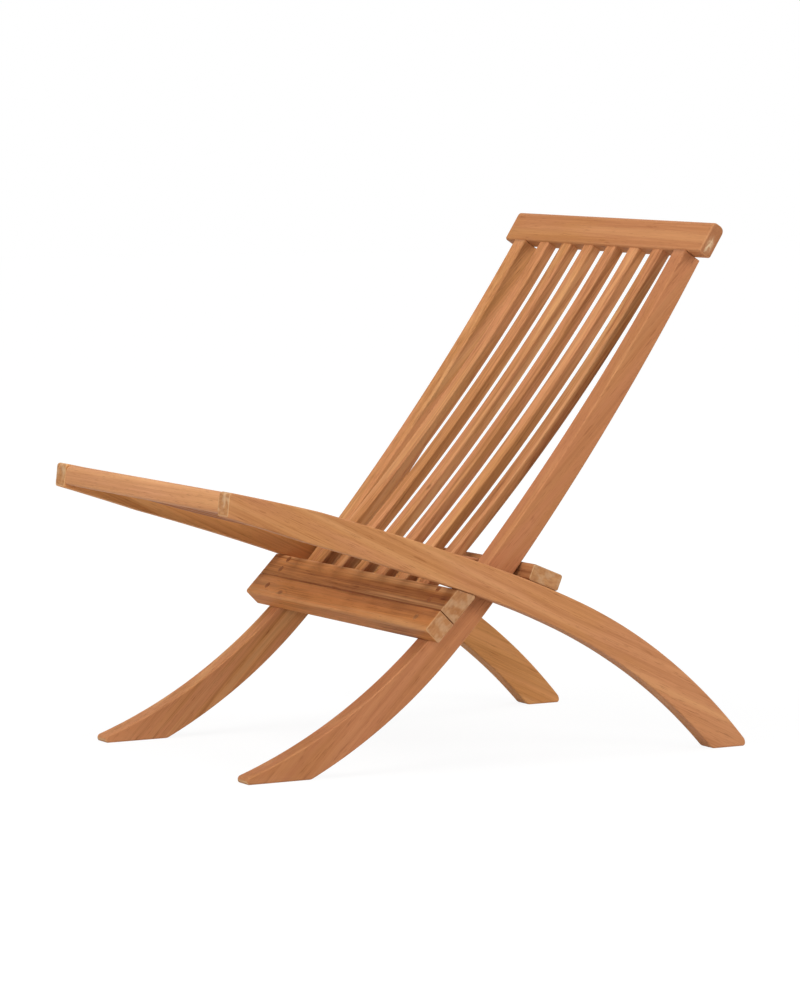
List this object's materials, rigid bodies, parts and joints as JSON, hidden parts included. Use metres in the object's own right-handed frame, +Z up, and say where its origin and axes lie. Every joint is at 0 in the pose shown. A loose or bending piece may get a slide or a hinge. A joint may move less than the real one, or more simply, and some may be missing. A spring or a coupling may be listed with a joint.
{
  "type": "folding chair",
  "caption": "Low folding lounge chair in solid teak: a curved, slatted back frame and seat frame interlock and fold like scissors, with no arms.",
  "frame": {"origin": "on the floor, under the middle of the open chair's outline", "axes": "+Z up; +X across the chair to the sitter's left; +Y towards the back, so the sitter faces -Y"},
  "size_m": [0.48, 0.7514, 0.6727],
  "materials": {
    "teak": "sanded, unvarnished",
    "teak_rail": "sanded, unvarnished",
    "wood_plug": "sanded, end grain",
    "beech_dowel": "plain",
    "brass_screw": "plain"
  },
  "bodies": {
    "back_frame": {"back_rail_left": "teak_rail", "back_rail_right": "teak_rail", "crest_rail": "teak", "front_crossbar_upper": "teak", "front_crossbar_lower": "teak", "back_slat_1": "teak", "back_slat_2": "teak", "back_slat_3": "teak", "back_slat_4": "teak", "back_slat_5": "teak", "back_slat_6": "teak", "crossbar_left_plug_1": "wood_plug", "crossbar_left_plug_2": "wood_plug", "crossbar_left_plug_3": "wood_plug", "crossbar_right_plug_1": "wood_plug", "crossbar_right_plug_2": "wood_plug", "crossbar_right_plug_3": "wood_plug", "crossbar_left_screw_1": "brass_screw", "crossbar_left_screw_2": "brass_screw", "crossbar_left_screw_3": "brass_screw", "crossbar_right_screw_1": "brass_screw", "crossbar_right_screw_2": "brass_screw", "crossbar_right_screw_3": "brass_screw"},
    "seat_frame": {"seat_rail_left": "teak_rail", "seat_rail_right": "teak_rail", "seat_front_rail": "teak", "rear_crossbar": "teak", "seat_slat_1": "teak", "seat_slat_2": "teak", "seat_slat_3": "teak", "seat_slat_4": "teak", "seat_slat_5": "teak", "seat_slat_6": "teak", "seat_slat_7": "teak", "rear_left_plug_1": "wood_plug", "rear_left_plug_2": "wood_plug", "rear_right_plug_1": "wood_plug", "rear_right_plug_2": "wood_plug", "rear_left_screw_1": "brass_screw", "rear_left_screw_2": "brass_screw", "rear_right_screw_1": "brass_screw", "rear_right_screw_2": "brass_screw", "front_dowel_left_1": "beech_dowel", "front_dowel_left_2": "beech_dowel", "front_dowel_right_1": "beech_dowel", "front_dowel_right_2": "beech_dowel"}
  },
  "joints": [
    {"name": "fold", "type": "hinge", "parent": "back_frame", "child": "seat_frame", "pos_m": [0, 0.00897, 0.226], "axis": [-1, 0, 0], "range_deg": [0, 105]}
  ]
}
